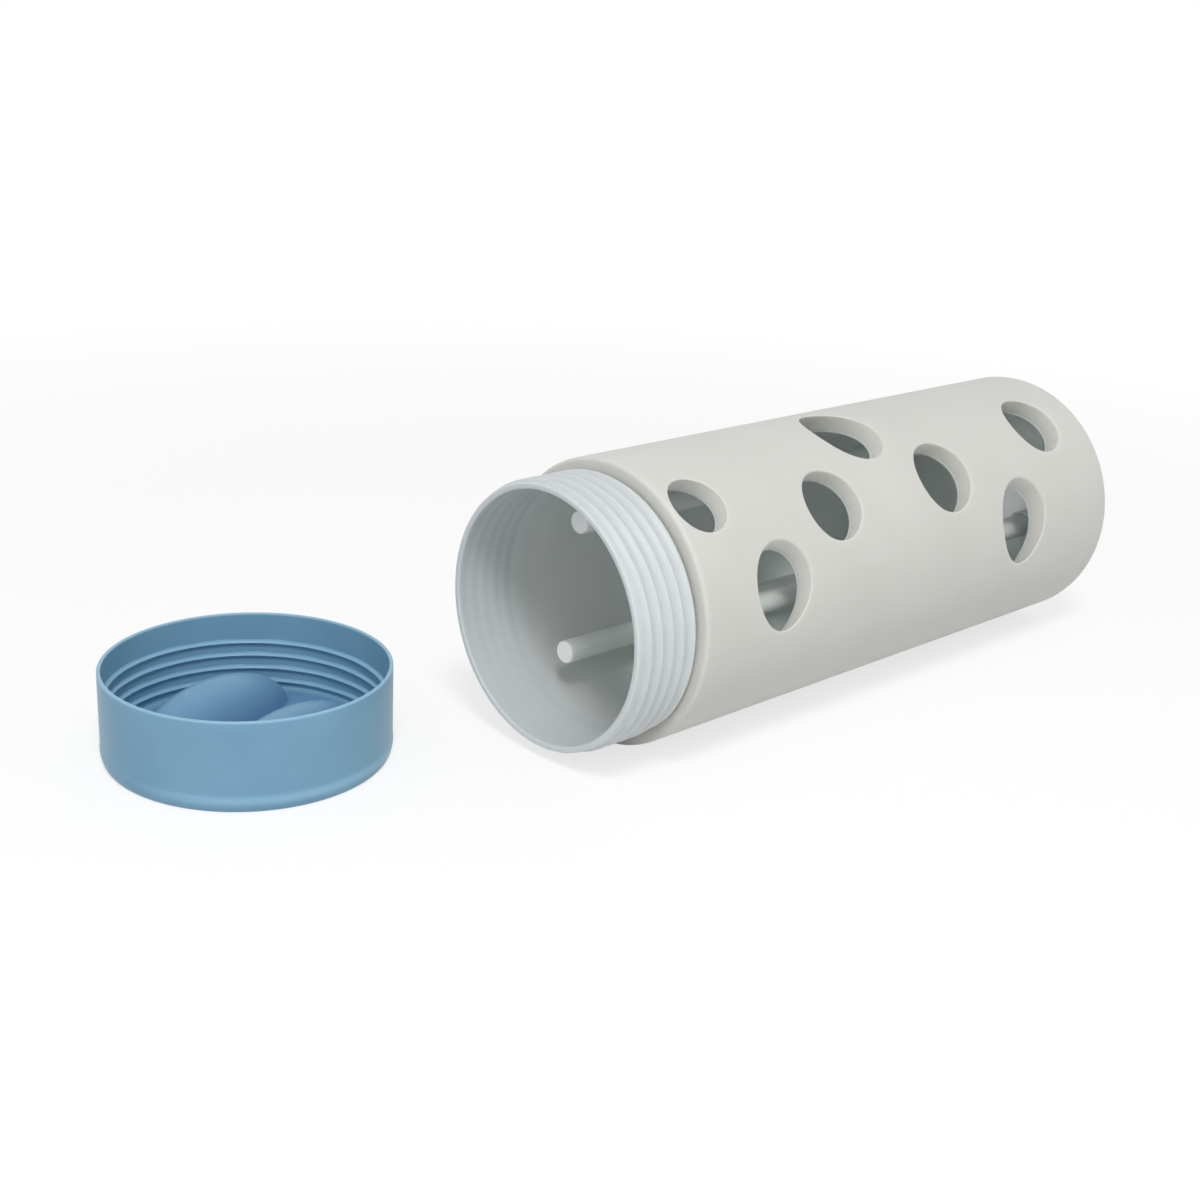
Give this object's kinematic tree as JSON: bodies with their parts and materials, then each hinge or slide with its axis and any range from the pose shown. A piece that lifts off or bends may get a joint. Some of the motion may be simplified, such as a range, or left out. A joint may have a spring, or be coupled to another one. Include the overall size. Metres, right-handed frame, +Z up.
{
  "type": "treat dispensing toy",
  "caption": "Rolling treat dispenser for dogs: a perforated double-walled tube with inner pegs and a threaded neck, and a screw cap lying beside it.",
  "frame": {"origin": "on the floor, under the middle of the box that holds the tube and the cap as they lie", "axes": "+X along the tube from its mouth to its closed end, +Z up from the floor"},
  "size_m": [0.2706, 0.1132, 0.07],
  "materials": {
    "inner_tube": "satin, slightly translucent white",
    "outer_sleeve": "matte warm grey, soft",
    "pegs": "satin white",
    "screw_cap": "satin blue"
  },
  "bodies": {
    "tube": {"inner_tube": "inner_tube", "outer_sleeve": "outer_sleeve", "peg_near": "pegs", "peg_upper": "pegs", "peg_lower": "pegs"},
    "cap": {"screw_cap": "screw_cap"}
  },
  "joints": [
    {"name": "cap_lift", "type": "slide", "parent": "tube", "child": "cap", "axis": [0, 0, 1], "range_m": [0, 0.08]}
  ]
}
